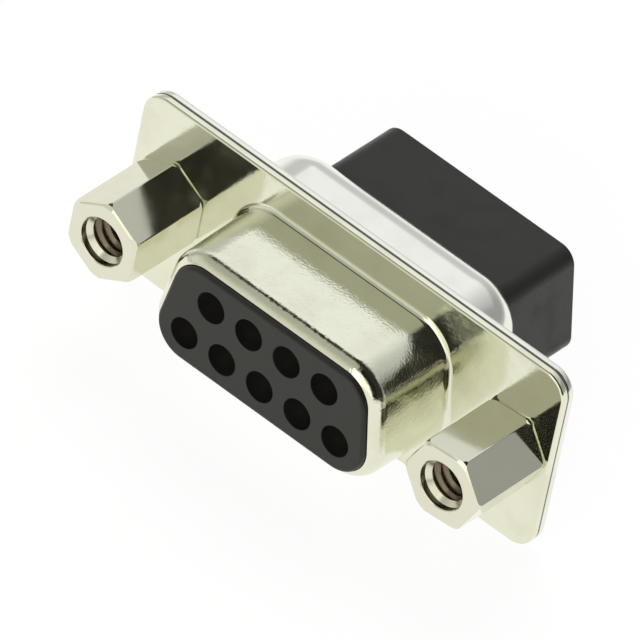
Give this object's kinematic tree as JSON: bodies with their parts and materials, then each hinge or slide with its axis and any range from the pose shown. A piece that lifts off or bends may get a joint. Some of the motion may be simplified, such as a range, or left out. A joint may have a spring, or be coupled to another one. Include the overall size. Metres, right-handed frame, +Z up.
{
  "type": "d-sub socket connector",
  "caption": "Panel D-sub socket connector in a two-part plated steel shell with a black insulator, socket contacts for crimping and hexagonal jackposts.",
  "frame": {"origin": "centre of the flange's front face, on the connector's own centre line", "axes": "+X along the flange, +Y from the mating face to the rear, +Z up from the long row of contacts to the short row"},
  "size_m": [0.0308, 0.0176, 0.0126],
  "materials": {
    "front_shell_nickel": "bright nickel plate on drawn steel",
    "rear_shell_tin": "bright plate on drawn steel",
    "insulator_black": "satin moulded glass-filled plastic",
    "contact_gold": "gold flash over nickel",
    "clip_copper": "bare copper alloy spring",
    "jackpost_nickel": "bright nickel plate on turned brass"
  },
  "bodies": {
    "root": {"front_shell": "front_shell_nickel", "rear_shell": "rear_shell_tin", "front_insulator": "insulator_black", "rear_insulator": "insulator_black", "contact_1": "contact_gold", "contact_2": "contact_gold", "contact_3": "contact_gold", "contact_4": "contact_gold", "contact_5": "contact_gold", "contact_6": "contact_gold", "contact_7": "contact_gold", "contact_8": "contact_gold", "contact_9": "contact_gold", "retention_clip_1": "clip_copper", "retention_clip_2": "clip_copper", "retention_clip_3": "clip_copper", "retention_clip_4": "clip_copper", "retention_clip_5": "clip_copper", "retention_clip_6": "clip_copper", "retention_clip_7": "clip_copper", "retention_clip_8": "clip_copper", "retention_clip_9": "clip_copper", "jackpost_left": "jackpost_nickel", "jackpost_right": "jackpost_nickel"}
  },
  "joints": []
}
